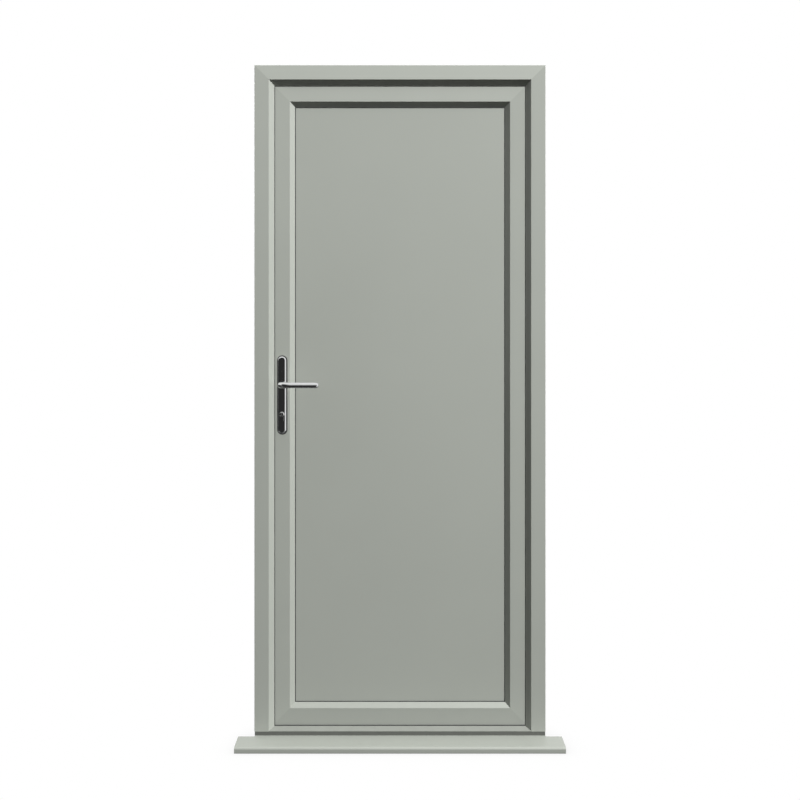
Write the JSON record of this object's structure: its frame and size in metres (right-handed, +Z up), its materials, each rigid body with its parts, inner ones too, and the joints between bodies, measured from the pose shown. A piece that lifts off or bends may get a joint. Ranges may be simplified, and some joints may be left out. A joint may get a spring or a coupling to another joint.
{
  "type": "upvc entrance door",
  "caption": "Inward-opening uPVC entrance door: chamfered frame on a projecting sill, mitred leaf with a flat infill panel, flag hinges and lever handles on long plates.",
  "frame": {"origin": "on the underside of the sill, below the middle of the frame's outside face", "axes": "+X to the right seen from outside, +Y inwards through the door, +Z up"},
  "size_m": [1, 0.2351, 2.097],
  "materials": {
    "profile_upvc": "satin agate grey uPVC",
    "panel_skin": "satin agate grey panel skin",
    "sill_upvc": "satin agate grey uPVC",
    "threshold_paint": "satin grey coating",
    "threshold_base_dark": "satin dark grey coating",
    "seal_rubber": "matt black",
    "handle_chrome": "polished",
    "cylinder_chrome": "satin",
    "lock_steel": "brushed",
    "hinge_paint": "satin agate grey coating"
  },
  "bodies": {
    "frame": {"frame_head": "profile_upvc", "frame_lock_jamb": "profile_upvc", "frame_hinge_jamb": "profile_upvc", "threshold": "threshold_paint", "threshold_base": "threshold_base_dark", "frame_seal": "seal_rubber", "sill": "sill_upvc", "sill_end_cap_left": "sill_upvc", "sill_end_cap_right": "sill_upvc", "keep_bottom": "lock_steel", "keep_centre": "lock_steel", "keep_top": "lock_steel", "hinge_bracket_bottom": "hinge_paint", "hinge_bracket_middle": "hinge_paint", "hinge_bracket_top": "hinge_paint", "hinge_pin_bottom": "lock_steel", "hinge_pin_middle": "lock_steel", "hinge_pin_top": "lock_steel"},
    "leaf": {"leaf_top_rail": "profile_upvc", "leaf_bottom_rail": "profile_upvc", "leaf_lock_stile": "profile_upvc", "leaf_hinge_stile": "profile_upvc", "infill_panel": "panel_skin", "glazing_bead_left": "profile_upvc", "glazing_bead_right": "profile_upvc", "glazing_bead_top": "profile_upvc", "glazing_bead_bottom": "profile_upvc", "panel_seal_outside": "seal_rubber", "panel_seal_inside": "seal_rubber", "leaf_seal": "seal_rubber", "lock_faceplate": "lock_steel", "latch_bolt": "lock_steel", "deadbolt": "lock_steel", "hook_bolt_bottom": "lock_steel", "hook_bolt_top": "lock_steel", "lock_cylinder": "cylinder_chrome", "outside_plate": "handle_chrome", "inside_plate": "handle_chrome", "hinge_flag_bottom": "hinge_paint", "hinge_flag_middle": "hinge_paint", "hinge_flag_top": "hinge_paint"},
    "levers": {"outside_lever": "handle_chrome", "inside_lever": "handle_chrome", "spindle": "lock_steel"}
  },
  "joints": [
    {"name": "leaf_swing", "type": "hinge", "parent": "frame", "child": "leaf", "pos_m": [0.4325, 0.1, 1], "axis": [0, 0, -1], "range_deg": [0, 100]},
    {"name": "lever_turn", "type": "hinge", "parent": "leaf", "child": "levers", "pos_m": [-0.3665, 0.059, 1.108], "axis": [0, 1, 0], "range_deg": [-40, 40], "stiffness_Nm_per_rad": 2, "springref_deg": -2.01}
  ]
}
